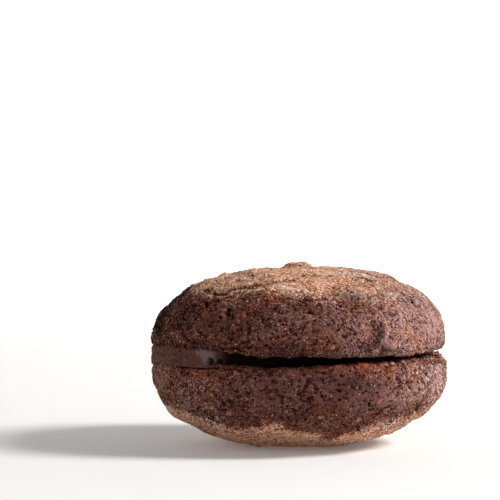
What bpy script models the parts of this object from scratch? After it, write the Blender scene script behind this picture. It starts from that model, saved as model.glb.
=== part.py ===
"""A chocolate amaretti sandwich biscuit, at its real size, in metres with +Z up.

Two domed almond biscuits lie flat side to flat side, with a thin chocolate cream between them.
The lower one stands on its dome, on a small flat spot, with its flat side up. The seam is a wedge
that opens to the left and the front: there the cream is squeezed out level with the rims, and
elsewhere its edge lies back in the seam. The origin is under the middle of the pair, on the
surface that it stands on. The front is at -Y.
"""

import math

import bmesh
import bpy
from mathutils import Matrix, Vector, noise

MM = 0.001

# Driving dimensions of the pair.
RADIUS = 22.75 * MM            # of each biscuit, at its widest
DEPTH_SHARE = 0.975            # front to back, as a share of the width
LOWER_HEIGHT = 13.73 * MM      # from the round dome's lowest point to its flat side, at the middle
UPPER_HEIGHT = 12.27 * MM      # from the upper biscuit's flat side to the top of its dome
SEAM_GAP = 1.32 * MM           # between the two flat sides, at the middle
FOOT_RADIUS = 5.0 * MM         # the flat spot that the pair stands on, pressed into the lower dome
CLEARANCE = 0.25 * MM          # between the cream and each biscuit

# Slopes of the two flat sides, as rise for run.
LOWER_RISE_RIGHT = 0.028
LOWER_RISE_BACK = 0.008
UPPER_RISE_RIGHT = 0.006
UPPER_RISE_BACK = 0.004
LOWER_LEAN = 0.05              # the lower dome leans to the right, by this share of its depth

# The outline of each biscuit: how full its dome is (2 is an ellipse) and how its rim is rounded.
UPPER_FULLNESS = 2.30
UPPER_RIM_HEIGHT = 1.7 * MM
UPPER_RIM_ROUND = 1.3 * MM
LOWER_FULLNESS = 2.20
LOWER_RIM_HEIGHT = 1.8 * MM
LOWER_RIM_ROUND = 1.8 * MM

# Unevenness of the crust.
BROAD_LUMPS = 0.42 * MM        # of the hand-rolled ball
BROAD_SIZE = 9.0 * MM
CRUMB_LUMPS = 0.20 * MM        # of the baked crumb
CRUMB_SIZE = 2.6 * MM

# The low, flat-topped peak on the upper dome.
PEAK_PLACE = Vector((-0.1 * MM, 3.4 * MM))
PEAK_SIZE = Vector((2.5 * MM, 2.0 * MM))
PEAK_HEIGHT = 0.95 * MM

# The cream.
CREAM_SET_BACK = 4.2 * MM              # of its edge, from the rims
CREAM_FLUSH = 0.15 * MM                # the same where it is squeezed out
CREAM_OUT_AT = math.radians(-162)      # where it is squeezed out: the left, a little to the front
CREAM_OUT_HALF = math.radians(54)      # half of that stretch
CREAM_OUT_FADE = math.radians(20)      # over which it draws back into the seam
CREAM_THINNEST = 0.35 * MM
CREAM_STEP_BACK = 0.02 * MM            # in finding where the seam is that wide
CREAM_EDGE_ROUND = 0.8 * MM            # how far the edge swells out between the flat sides
CREAM_FLARE = 0.45                     # how far it follows the rounded rims, as a share

# How finely the shapes are made.
DOME_SUBDIVISIONS = 5
FLAT_SIDE_ANGLE = math.radians(137)    # polar angle on the sphere where the flat side begins
PROFILE_STEPS = 160
CREAM_SIDES = 96
CREAM_SIDE_ROWS = 3
CREAM_EDGE_ROWS = 7
SHARP_ANGLE = math.radians(50)

DOUGH = {"colour": (0.130, 0.062, 0.046, 1.0), "roughness": 0.85}
CREAM = {"colour": (0.085, 0.045, 0.033, 1.0), "roughness": 0.45}


# --- helpers ------------------------------------------------------------------------------------


def clear_scene():
    for old in list(bpy.data.objects):
        bpy.data.objects.remove(old, do_unlink=True)


def smooth_step(low, high, value):
    share = min(1.0, max(0.0, (value - low) / (high - low)))
    return share * share * (3.0 - 2.0 * share)


def bell(distance, width):
    """1 at no distance, falling to almost nothing at 2 widths."""
    return math.exp(-((distance / width) ** 2))


def material(name, finish):
    made = bpy.data.materials.new(name)
    made.use_nodes = True
    shader = made.node_tree.nodes["Principled BSDF"]
    shader.inputs["Base Color"].default_value = finish["colour"]
    shader.inputs["Roughness"].default_value = finish["roughness"]
    shader.inputs["Metallic"].default_value = 0.0
    made.diffuse_color = finish["colour"]
    return made


def add_object(name, bm, finish):
    mesh = bpy.data.meshes.new(name)
    if bm.calc_volume(signed=True) < 0.0:
        bmesh.ops.reverse_faces(bm, faces=bm.faces)
    bm.to_mesh(mesh)
    bm.free()
    mesh.shade_smooth()
    mesh.set_sharp_from_angle(angle=SHARP_ANGLE)
    mesh.materials.append(material(name + "_finish", finish))
    made = bpy.data.objects.new(name, mesh)
    bpy.context.scene.collection.objects.link(made)
    return made


# --- the two flat sides -------------------------------------------------------------------------


def seam_floor(x, y):
    """Height of the lower biscuit's flat side."""
    return LOWER_HEIGHT + LOWER_RISE_RIGHT * x + LOWER_RISE_BACK * y


def seam_ceiling(x, y):
    """Height of the upper biscuit's flat side."""
    return LOWER_HEIGHT + SEAM_GAP + UPPER_RISE_RIGHT * x + UPPER_RISE_BACK * y


def seam_gap(radius, turn):
    x, y = radius * math.cos(turn), radius * math.sin(turn) * DEPTH_SHARE
    return seam_ceiling(x, y) - seam_floor(x, y)


# --- the turned profile of one biscuit, flat side at z 0 and dome upwards -----------------------


class Profile:
    """The half outline of a biscuit: a full dome, a rounded rim and a flat side."""

    def __init__(self, radius, height, fullness, rim_height, rim_round):
        self.radius = radius
        self.height = height
        self.rim_height = rim_height
        self.rim_round = rim_round
        outline = []
        for step in range(PROFILE_STEPS + 1):
            turn = 0.5 * math.pi * step / PROFILE_STEPS
            outline.append((
                radius * math.sin(turn) ** (2.0 / fullness),
                rim_height + (height - rim_height) * math.cos(turn) ** (2.0 / fullness),
            ))
        rim_steps = PROFILE_STEPS // 8
        for step in range(1, rim_steps + 1):
            turn = 0.5 * math.pi * step / rim_steps
            outline.append((
                radius - rim_round * (1.0 - math.cos(turn)),
                rim_height * (1.0 - math.sin(turn)),
            ))
        self.outline = outline
        self.lengths = [0.0]
        for (r0, z0), (r1, z1) in zip(outline, outline[1:]):
            self.lengths.append(self.lengths[-1] + math.hypot(r1 - r0, z1 - z0))

    def at(self, polar):
        """(radius, height) for a polar angle on the sphere, 0 at the top of the dome."""
        if polar >= FLAT_SIDE_ANGLE:
            left = (math.pi - polar) / (math.pi - FLAT_SIDE_ANGLE)
            return self.outline[-1][0] * left, 0.0
        wanted = self.lengths[-1] * polar / FLAT_SIDE_ANGLE
        low, high = 0, len(self.lengths) - 1
        while high - low > 1:
            middle = (low + high) // 2
            if self.lengths[middle] <= wanted:
                low = middle
            else:
                high = middle
        share = (wanted - self.lengths[low]) / (self.lengths[high] - self.lengths[low])
        (r0, z0), (r1, z1) = self.outline[low], self.outline[high]
        return r0 + (r1 - r0) * share, z0 + (z1 - z0) * share

    def rim_drop(self, radius):
        """How far the rounded rim has left the flat side's plane at that radius."""
        out = (radius - (self.radius - self.rim_round)) / self.rim_round
        out = min(1.0, max(0.0, out))
        return self.rim_height * (1.0 - math.sqrt(1.0 - out * out))


UPPER = Profile(RADIUS, UPPER_HEIGHT, UPPER_FULLNESS, UPPER_RIM_HEIGHT, UPPER_RIM_ROUND)
LOWER = Profile(RADIUS, LOWER_HEIGHT, LOWER_FULLNESS, LOWER_RIM_HEIGHT, LOWER_RIM_ROUND)


# --- relief of the crust ------------------------------------------------------------------------

# Wrinkles: (x, y) of both ends seen from above, how far the middle bends to the front, height
# and half width, in mm. A negative height is a crack.
UPPER_WRINKLES = (
    ((-15.5, -8.0), (-3.0, -13.5), 1.6, 0.42, 0.95),
    ((-16.0, -10.2), (-4.5, -15.6), 1.4, -0.38, 0.75),
    ((-4.0, -8.4), (3.0, -9.2), 0.8, -0.30, 0.80),
    ((-5.0, -4.0), (6.0, -4.6), 0.8, 0.28, 0.90),
    ((9.0, -3.5), (15.0, -9.0), 0.6, -0.28, 0.75),
    ((10.5, 4.0), (16.0, -4.0), -0.8, 0.30, 0.95),
    ((-14.0, 6.0), (-6.0, 13.0), -1.5, 0.38, 1.00),
    ((2.0, 15.0), (13.0, 9.5), -1.2, -0.34, 0.85),
    ((-8.0, 2.0), (-3.5, 9.0), -1.0, -0.28, 0.80),
)
LOWER_WRINKLES = (
    ((8.0, -12.6), (16.0, -13.0), 0.8, -0.38, 0.80),
    ((-16.0, -11.0), (-6.0, -16.0), 0.8, 0.28, 1.00),
    ((-12.0, 13.0), (2.0, 17.0), -0.8, -0.32, 0.90),
    ((14.0, 8.0), (9.0, 15.0), -0.6, 0.30, 1.00),
)

# Lumps (positive) and dents (negative): angle round the biscuit from +X, height above the flat
# side as a share of the dome's, size in mm and height in mm.
UPPER_LUMPS = (
    (-176.0, 0.70, 8.0, -0.95),
    (180.0, 0.81, 3.8, 0.80),
    (-150.0, 0.86, 5.0, -0.30),
    (-128.0, 0.90, 2.6, 0.55),
    (-118.0, 0.97, 2.2, 0.35),
    (0.0, 0.50, 6.0, -0.22),
    (-58.0, 0.24, 1.5, -0.60),
    (-52.0, 0.17, 1.3, 0.45),
    (-160.0, 0.55, 2.4, -0.35),
    (-75.0, 0.50, 3.0, 0.30),
    (35.0, 0.60, 2.8, 0.40),
    (100.0, 0.45, 2.5, -0.40),
    (150.0, 0.70, 2.6, 0.35),
)
LOWER_LUMPS = (
    (180.0, 0.60, 9.0, -0.25),
    (0.0, 0.60, 8.0, 0.15),
    (-170.0, 0.92, 8.0, -0.45),
    (10.0, 0.92, 7.0, 0.15),
    (-68.0, 0.34, 2.0, -0.55),
    (-84.0, 0.27, 1.2, 0.35),
    (-118.0, 0.72, 3.0, 0.20),
    (-30.0, 0.62, 2.4, 0.30),
    (-150.0, 0.55, 2.2, 0.30),
    (60.0, 0.50, 2.6, -0.40),
    (120.0, 0.60, 2.8, 0.40),
)


def wrinkle_height(place, wrinkles):
    """Relief of the wrinkles at a point seen from above: each is an arc with soft ends."""
    height = 0.0
    for (x0, y0), (x1, y1), bend, rise, half_width in wrinkles:
        start = Vector((x0, y0)) * MM
        along = Vector((x1, y1)) * MM - start
        length = along.length
        along.normalize()
        across = Vector((-along.y, along.x))
        from_start = place - start
        share = from_start.dot(along) / length
        if not -0.15 < share < 1.15:
            continue
        bow = -4.0 * bend * MM * share * (1.0 - share)
        ends = smooth_step(-0.15, 0.15, share) * smooth_step(1.15, 0.85, share)
        height += rise * MM * ends * bell(from_start.dot(across) - bow, half_width * MM)
    return height


def lump_height(point, profile, lumps):
    """Relief of the lumps and dents, each placed on the plain dome."""
    height = 0.0
    for degrees, share, size, rise in lumps:
        turn = math.radians(degrees)
        out = profile.radius * math.sqrt(max(0.05, 1.0 - share**2.4))
        place = Vector((out * math.cos(turn), out * math.sin(turn), share * profile.height))
        height += rise * MM * bell((point - place).length, size * MM)
    return height


def dough_relief(point, profile, seed, wrinkles, lumps):
    """How far the crust stands out from the plain dome at a point of it."""
    broad = noise.fractal((point + seed) / BROAD_SIZE, 1.0, 2.0, 2)
    crumb = noise.fractal((point - seed) / CRUMB_SIZE, 1.0, 2.0, 2)
    height = BROAD_LUMPS * broad + CRUMB_LUMPS * crumb
    height += wrinkle_height(point.xy, wrinkles)
    height += lump_height(point, profile, lumps)
    return height


def peak_relief(point):
    """The low, flat-topped peak on the upper dome."""
    away = point.xy - PEAK_PLACE
    reach = math.hypot(away.x / PEAK_SIZE.x, away.y / PEAK_SIZE.y)
    return PEAK_HEIGHT * (1.0 - smooth_step(0.55, 1.25, reach))


# --- the two biscuits ---------------------------------------------------------------------------


def biscuit_bmesh(profile, seed, wrinkles, lumps):
    """One biscuit, flat side at z 0 and dome upwards: a sphere of triangles moved onto the profile."""
    bm = bmesh.new()
    bmesh.ops.create_icosphere(bm, subdivisions=DOME_SUBDIVISIONS, radius=1.0)
    for vert in bm.verts:
        direction = vert.co.normalized()
        polar = math.acos(max(-1.0, min(1.0, direction.z)))
        radius, height = profile.at(polar)
        turn = math.atan2(direction.y, direction.x)
        point = Vector((radius * math.cos(turn), radius * math.sin(turn), height))
        # The relief fades towards the flat side, which stays flat for the cream.
        lift = dough_relief(point, profile, seed, wrinkles, lumps)
        lift *= smooth_step(0.0, profile.rim_height, height)
        outward = Vector((point.x, point.y, 1.7 * (height - 0.3 * profile.height))).normalized()
        vert.co = point + outward * lift
    return bm


def lay_on_seam(bm, seam_height, upwards, lean):
    """Sets the flat side on the seam, with the dome upwards (1) or downwards (-1)."""
    for vert in bm.verts:
        height = vert.co.z
        x, y = vert.co.x, vert.co.y * DEPTH_SHARE
        vert.co = Vector((x + lean * height, y, seam_height(x, y) + upwards * height))


def press_foot(bm):
    """Presses the flat spot that the pair stands on."""
    beside_foot = [
        vert.co.z
        for vert in bm.verts
        if abs(vert.co.xy.length - FOOT_RADIUS) < 1.2 * MM and vert.co.z < 0.5 * LOWER_HEIGHT
    ]
    foot = sum(beside_foot) / len(beside_foot)
    for vert in bm.verts:
        vert.co.z = max(vert.co.z, foot)


def lower_biscuit():
    """Its dome points down."""
    bm = biscuit_bmesh(LOWER, Vector((0.031, 0.012, 0.044)), LOWER_WRINKLES, LOWER_LUMPS)
    lay_on_seam(bm, seam_floor, -1.0, LOWER_LEAN)
    press_foot(bm)
    return add_object("biscuit_lower", bm, DOUGH)


def upper_biscuit():
    bm = biscuit_bmesh(UPPER, Vector((0.007, 0.055, 0.021)), UPPER_WRINKLES, UPPER_LUMPS)
    for vert in bm.verts:
        if vert.co.z > 0.5 * UPPER_HEIGHT:
            vert.co.z += peak_relief(vert.co)
    lay_on_seam(bm, seam_ceiling, 1.0, 0.0)
    return add_object("biscuit_upper", bm, DOUGH)


# --- the cream between them ---------------------------------------------------------------------


def cream_radius(turn):
    """Distance of the cream's edge from the middle, in a direction round the biscuit."""
    from_bulge = abs((turn - CREAM_OUT_AT + math.pi) % (2.0 * math.pi) - math.pi)
    out = smooth_step(CREAM_OUT_HALF + CREAM_OUT_FADE, CREAM_OUT_HALF - CREAM_OUT_FADE, from_bulge)
    wave = 0.45 * MM * math.sin(3.0 * turn + 0.8) + 0.3 * MM * math.sin(5.0 * turn)
    inner = RADIUS - CREAM_SET_BACK + wave
    outer = RADIUS - CREAM_FLUSH
    wanted = inner + (outer - inner) * out
    # It has run away from where the seam pinches it.
    while seam_gap(wanted, turn) < CREAM_THINNEST + 2.0 * CLEARANCE:
        wanted -= CREAM_STEP_BACK
    return wanted


def cream_rows():
    """The rows of the cream's section, each as (share of the way out, turn round its edge).

    They run from the middle along the lower side, round the edge and back along the upper side.
    The turn is -90 degrees on the lower side and 90 on the upper one.
    """
    quarter = 0.5 * math.pi
    outwards = [(row + 1) / (CREAM_SIDE_ROWS + 1) for row in range(CREAM_SIDE_ROWS)]
    round_edge = [quarter * (2.0 * row / (CREAM_EDGE_ROWS - 1) - 1.0) for row in range(CREAM_EDGE_ROWS)]
    rows = [(share, -quarter) for share in outwards]
    rows += [(1.0, turn) for turn in round_edge]
    rows += [(share, quarter) for share in reversed(outwards)]
    return rows


def cream_point(turn, share, edge_turn):
    """A point of the cream: its flat sides follow the biscuits', and its edge swells out."""
    edge = cream_radius(turn) - CREAM_EDGE_ROUND
    flat = min(edge, RADIUS - LOWER_RIM_ROUND)
    # The rows crowd together where the cream follows the rounded rims.
    radius = flat + (edge - flat) * share + CREAM_EDGE_ROUND * math.cos(edge_turn) ** 0.6
    radius -= (1.0 - share) * CREAM_EDGE_ROUND
    x = radius * math.cos(turn)
    y = radius * math.sin(turn) * DEPTH_SHARE
    floor = seam_floor(x, y) - CREAM_FLARE * LOWER.rim_drop(radius) + CLEARANCE
    ceiling = seam_ceiling(x, y) + CREAM_FLARE * UPPER.rim_drop(radius) - CLEARANCE
    upwards = math.copysign(abs(math.sin(edge_turn)) ** 0.6, edge_turn)
    return Vector((x, y, 0.5 * (floor + ceiling) + 0.5 * (ceiling - floor) * upwards))


def cream():
    """A ring is drawn up row by row into a drum, and its rows are then laid on the section."""
    rows = cream_rows()
    bm = bmesh.new()
    bmesh.ops.create_circle(bm, cap_ends=True, radius=1.0, segments=CREAM_SIDES)
    ring = list(bm.edges)
    for row in range(1, len(rows)):
        drawn = bmesh.ops.extrude_edge_only(bm, edges=ring)["geom"]
        ring = [item for item in drawn if isinstance(item, bmesh.types.BMEdge)]
        for vert in {vert for edge in ring for vert in edge.verts}:
            vert.co.z = float(row)
    bmesh.ops.contextual_create(bm, geom=ring)
    for vert in bm.verts:
        share, edge_turn = rows[round(vert.co.z)]
        vert.co = cream_point(math.atan2(vert.co.y, vert.co.x), share, edge_turn)
    return add_object("cream_filling", bm, CREAM)


def set_on_origin(parts):
    """Moves the pair so that its foot is at z 0 and the middle of its box over the origin."""
    corners = [vert.co for part in parts for vert in part.data.vertices]
    shift = Vector((
        -0.5 * (min(c.x for c in corners) + max(c.x for c in corners)),
        -0.5 * (min(c.y for c in corners) + max(c.y for c in corners)),
        -min(c.z for c in corners),
    ))
    for part in parts:
        part.data.transform(Matrix.Translation(shift))


clear_scene()
set_on_origin([lower_biscuit(), cream(), upper_biscuit()])
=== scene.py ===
# %% [markdown]
# # A chocolate amaretti sandwich biscuit
#
# This lesson dresses a fixed frame of three plain solids, a lower biscuit, an upper biscuit and the
# chocolate cream between them, as the real sweet: baked almond dough with a fine, porous crumb,
# a dry tan bloom on top and underneath, bits of almond, grains of sugar, and satin cream.
# Everything is in metres, +Z is up and the front is at -Y.

# %% Load the frame
import math
import random

import bmesh
import bpy
from mathutils import Matrix, Vector, kdtree, noise
from mathutils.bvhtree import BVHTree


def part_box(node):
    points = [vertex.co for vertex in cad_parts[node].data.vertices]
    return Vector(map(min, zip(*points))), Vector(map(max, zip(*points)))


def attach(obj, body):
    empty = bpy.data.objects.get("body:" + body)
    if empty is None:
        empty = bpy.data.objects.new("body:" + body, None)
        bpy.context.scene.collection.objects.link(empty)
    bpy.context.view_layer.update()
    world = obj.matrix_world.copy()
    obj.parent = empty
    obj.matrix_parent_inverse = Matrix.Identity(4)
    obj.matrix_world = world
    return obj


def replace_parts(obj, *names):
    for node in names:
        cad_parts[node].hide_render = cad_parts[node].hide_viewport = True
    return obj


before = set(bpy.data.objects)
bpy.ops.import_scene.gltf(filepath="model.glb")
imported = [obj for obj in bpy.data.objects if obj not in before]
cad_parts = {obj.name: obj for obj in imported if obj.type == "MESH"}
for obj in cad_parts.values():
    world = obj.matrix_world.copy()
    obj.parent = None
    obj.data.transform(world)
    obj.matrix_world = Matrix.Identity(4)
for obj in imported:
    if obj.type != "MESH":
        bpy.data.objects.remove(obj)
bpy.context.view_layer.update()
print("nodes of the frame:", sorted(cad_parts))

# %% Units and small helpers
MM = 0.001
LEVEL = 0.001 * MM                  # what lies closer together than this is at the same place


def smooth_step(low, high, value):
    """0 below low, 1 above high and an S-shaped rise between; high may be the smaller one."""
    share = min(1.0, max(0.0, (value - low) / (high - low)))
    return share * share * (3.0 - 2.0 * share)


def mix(low, high, share):
    return low + (high - low) * share


def rightwards(place):
    """From -1 at the left through 0 in front and behind to 1 at the right."""
    return place.x / place.xy.length if place.xy.length > 0.0 else 0.0


# %% [markdown]
# ## The camera
#
# The photograph looks at the biscuit from just above its level, and shows it right of the middle and
# low in the frame. A lens shift could move it there, but a shift stays behind when the camera goes
# round to other sides. So the camera is turned instead: the middle of the seam, which it aims at,
# has to land on a chosen pixel, and two angles, pitch and yaw, follow from that.

# %% Place the camera
PHOTO_MIDDLE = 250.0                # half of the photograph's 500 pixels
PIXELS_PER_MM = 6.47                # at the biscuit's distance
AIM = Vector((0.0, 0.0, 14.0 * MM))
AIM_PIXEL = (299.5, 352.0)
LOOK_DOWN = math.radians(4.0)
DISTANCE = 0.30
SENSOR = 36.0

half_width = PHOTO_MIDDLE / PIXELS_PER_MM * MM / DISTANCE   # tangent of half the angle of view
across = (AIM_PIXEL[0] - PHOTO_MIDDLE) / PHOTO_MIDDLE * half_width
upwards = (PHOTO_MIDDLE - AIM_PIXEL[1]) / PHOTO_MIDDLE * half_width
stretch = math.sqrt(1.0 + across**2 + upwards**2)
pitch = math.asin(-math.sin(LOOK_DOWN) * stretch / math.sqrt(1.0 + upwards**2)) - math.atan(upwards)
yaw = math.atan2(-across, math.cos(pitch) - upwards * math.sin(pitch))

camera_data = bpy.data.cameras.new("camera")
camera_data.lens = 0.5 * SENSOR / half_width
camera_data.sensor_width = SENSOR
camera_data.clip_start = 0.01
camera = bpy.data.objects.new("camera", camera_data)
camera.location = AIM + DISTANCE * Vector((0.0, -math.cos(LOOK_DOWN), math.sin(LOOK_DOWN)))
camera.rotation_euler = (0.5 * math.pi + pitch, 0.0, -yaw)
bpy.context.scene.collection.objects.link(camera)
bpy.context.scene.camera = camera
bpy.context.view_layer.update()
print(f"lens {camera_data.lens:.1f} mm, pitch {math.degrees(pitch):.2f}, yaw {math.degrees(yaw):.2f}")


# %% The line of sight through a pixel
def line_of_sight(pixel):
    """Where the camera stands, and the direction in which it sees a pixel of the photograph."""
    toward = Vector((
        (pixel[0] - PHOTO_MIDDLE) / PHOTO_MIDDLE * half_width,
        (PHOTO_MIDDLE - pixel[1]) / PHOTO_MIDDLE * half_width,
        -1.0,
    ))
    return camera.location, (camera.matrix_world.to_3x3() @ toward).normalized()


# %% [markdown]
# ## Writing materials in code
#
# A node tree is wordy to write, so two small classes keep it short. Each method adds one node or a
# few, sets or links their inputs, and gives back what comes out. All patterns read Object
# coordinates, which are metres here, so a noise whose lumps should be 1 mm wide gets a scale of
# 1 / 0.001.

# %% Nodes of a material
class Nodes:
    """A new material, and short ways to add nodes to its tree."""

    def __init__(self, name):
        self.material = bpy.data.materials.new(name)
        self.material.use_nodes = True
        self.tree = self.material.node_tree
        self.shader = self.tree.nodes["Principled BSDF"].inputs
        self.place = self.add("ShaderNodeTexCoord").outputs["Object"]

    def feed(self, socket, value):
        """Links an output to a socket, or sets the socket to a plain value."""
        if isinstance(value, bpy.types.NodeSocket):
            self.tree.links.new(value, socket)
        else:
            socket.default_value = value

    def add(self, kind, inputs=(), **settings):
        """Adds a node; its inputs are pairs of a name or number and a value."""
        made = self.tree.nodes.new(kind)
        for name, value in settings.items():
            setattr(made, name, value)
        for name, value in dict(inputs).items():
            self.feed(made.inputs[name], value)
        return made

    def calculate(self, operation, *values):
        return self.add("ShaderNodeMath", enumerate(values), operation=operation).outputs[0]

    def times(self, first, second):
        return self.calculate("MULTIPLY", first, second)

    def vectors(self, operation, *values):
        return self.add("ShaderNodeVectorMath", enumerate(values), operation=operation).outputs[0]

    def weighted(self, base, *terms):
        """base plus each term's value times its weight."""
        for value, weight in terms:
            base = self.calculate("MULTIPLY_ADD", value, weight, base)
        return base

    def ramp(self, value, low, high, to_low=0.0, to_high=1.0):
        """Maps low..high onto to_low..to_high, and clamps."""
        inputs = {"Value": value, "From Min": low, "From Max": high, "To Min": to_low, "To Max": to_high}
        return self.add("ShaderNodeMapRange", inputs).outputs["Result"]

    def blend(self, share, first, second, kind="MIX"):
        """From the first colour to the second by share."""
        inputs = {0: share, 6: first, 7: second}
        return self.add("ShaderNodeMix", inputs, data_type="RGBA", blend_type=kind).outputs[2]

    def toned(self, tone, tones):
        """A colour ramp over a tone from 0 to 1."""
        made = self.add("ShaderNodeValToRGB", {"Fac": tone})
        elements = made.color_ramp.elements
        while len(elements) < len(tones):
            elements.new(0.5)
        for element, (share, colour) in zip(elements, tones):
            element.position = share
            element.color = (*colour, 1.0)
        return made.outputs["Color"]

    def give(self, name, value):
        """Sets or links one of the shader's own inputs."""
        self.feed(self.shader[name], value)

    def emboss(self, height, strength, distance):
        bump = {"Height": height, "Strength": strength, "Distance": distance}
        self.give("Normal", self.add("ShaderNodeBump", bump).outputs["Normal"])


# %% Patterns of a material
class Patterns(Nodes):
    """The same with patterns, on Object coordinates if no other place is named."""

    def painted(self, name):
        """A value that is stored on the points of the mesh."""
        return self.add("ShaderNodeAttribute", attribute_name=name).outputs["Fac"]

    def noise(self, size, detail=2.0, roughness=0.5, place=None):
        """Soft noise whose lumps are about that size; its outputs go from 0 to 1."""
        inputs = {"Vector": place or self.place, "Scale": 1.0 / size}
        inputs |= {"Detail": detail, "Roughness": roughness}
        return self.add("ShaderNodeTexNoise", inputs).outputs

    def lumps(self, *sizes, **places):
        return self.noise(*sizes, **places)["Fac"]

    def grains(self, size, place=None):
        """Cells of about that size: the distance from each one's middle, and three chances per cell."""
        made = self.add("ShaderNodeTexVoronoi", {"Vector": place or self.place, "Scale": 1.0 / size})
        chances = self.add("ShaderNodeSeparateColor", {"Color": made.outputs["Color"]})
        return made.outputs["Distance"], chances.outputs

    def ragged(self, size, amount):
        """The place, pushed about a little, so that round patterns come out ragged."""
        centred = self.vectors("SUBTRACT", self.noise(size)["Color"], (0.5, 0.5, 0.5))
        return self.vectors("ADD", self.place, self.vectors("MULTIPLY", centred, 3 * (amount,)))


# %% [markdown]
# ## The finish of the dough
#
# The crumb is a dark purple brown with warmer and paler grains in it, and with pores. Where it met
# the oven's heat and the tray, a dry tan bloom lies on it as a fine powder, which thins out grain by
# grain and never ends in a line. A thin pink dust with fine streaks covers the flanks, and the same
# mask paints a pale sheen where the light grazes them. Pores and cracks are nearly black, because
# hardly any light comes out of them. Along the rim of the lower biscuit the crumb is torn open and
# rusty.
#
# An image could hold all this, but nothing here is painted by hand. Masks are worked out together
# with the geometry and stored on its points: `bloom`; `dust` for dust and a painted sheen
# on lit flanks; `pit`; `rust`; `dusk` for smudges and for painted shade on the left end,
# in hollows, inside the seam and above it; `cool_and_sheen` for greyer crumb and a painted lilac
# sheen on lit edges; `ridge` for how far a grain stands out, which also paints crests paler and
# creases darker as light and shade; and `crisp` for how strongly the grain shows. The material
# breaks them up with noise that is finer than the mesh, because a mask alone would look like an
# airbrushed spot. It first works out one tone, from hollow to pale grain, and takes colour, gloss
# and relief from it. So a dark grain is also a low one, as in real crumb, and the darker it is the
# redder it gets.

# %% Colours of the dough
# Each list runs from the deepest hollow to the palest grain: share and colour.
CRUMB_TONES = (
    (0.00, (0.024, 0.0028, 0.0016)), (0.22, (0.057, 0.0142, 0.0088)), (0.40, (0.112, 0.040, 0.0290)),
    (0.56, (0.162, 0.066, 0.048)), (0.76, (0.262, 0.119, 0.089)), (1.00, (0.640, 0.380, 0.300)),
)
BLOOM_TONES = (
    (0.00, (0.085, 0.021, 0.011)), (0.26, (0.318, 0.119, 0.064)), (0.52, (0.705, 0.392, 0.252)),
    (0.78, (0.910, 0.615, 0.450)), (1.00, (1.000, 0.860, 0.730)),
)
# Pink dust, also used as a painted sheen where the light grazes the flanks.
DUST_AND_SHEEN = (0.510, 0.276, 0.222, 1.0)
RUST = (0.270, 0.084, 0.036, 1.0)
# The colour of painted shade, in hollows, in and above the seam and on the left end, and of smudges.
SHADE_AND_SMUDGE = (0.009, 0.004, 0.0035, 1.0)
PIT_BLACK = (0.020, 0.0028, 0.0016, 1.0)
# The rest are tints, which a colour is multiplied by.
TORN_TINT = (2.0, 1.3, 0.9, 1.0)
TOASTED = (1.30, 1.00, 0.82, 1.0)   # what the heat under the bloom does to the crumb's colour
WARM_TINT = (1.10, 0.94, 0.78, 1.0)
COOL_TINT = (0.93, 1.02, 1.17, 1.0)

# %% The tone of the crumb
GRAIN_SIZE = 0.30 * MM
GLINT_SIZE = 0.15 * MM
MIDDLE_TONE = 0.45                  # where the crumb is crisp, tones move away from this one
# Two sizes of pores: width of their cells, radius in cells, and the share of cells that have none.
FINE_PORES = (0.62 * MM, 0.31, 0.54)
WIDE_PORES = (1.25 * MM, 0.21, 0.62)
VEIN_SPACING = 0.80 * MM
STREAKS_PER_RADIAN = 70.0           # so they are 0.3 mm wide at the rim
STREAK_LENGTH = 1.3 * MM
STREAK_SLANT = 0.038 / MM           # radians that they turn to the right with each metre down


def pores(look, place, cell, radius, closed):
    """1 inside small holes; the surface cuts through the cells, so the holes differ in size."""
    distance, chances = look.grains(cell, place)
    inside = look.ramp(distance, radius, 0.72 * radius)
    crowded = look.weighted(chances["Green"], (look.lumps(3.0 * MM, 1.0, place=place), 0.8))
    return look.times(inside, look.ramp(crowded, closed + 0.40, closed + 0.42))


def veins(look):
    """1 on fine curved lines, where soft noise crosses its middle value."""
    off = look.calculate("ABSOLUTE", look.calculate("SUBTRACT", look.lumps(VEIN_SPACING), 0.5))
    return look.ramp(off, 0.045, 0.0)


def streaks(look):
    """Short grainy streaks that run slantwise down the flanks."""
    height = look.add("ShaderNodeSeparateXYZ", {"Vector": look.place}).outputs["Z"]
    slant = {"Vector": look.place, "Angle": look.times(height, STREAK_SLANT)}
    turned = look.add("ShaderNodeVectorRotate", slant, rotation_type="Z_AXIS").outputs["Vector"]
    round_it = look.vectors("NORMALIZE", look.vectors("MULTIPLY", turned, (1.0, 1.0, 0.0)))
    spread = look.vectors("MULTIPLY", round_it, 3 * (STREAKS_PER_RADIAN,))
    drawn = look.vectors("MULTIPLY_ADD", look.place, (0.0, 0.0, 1.0 / STREAK_LENGTH), spread)
    return look.lumps(1.0, place=drawn)


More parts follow.
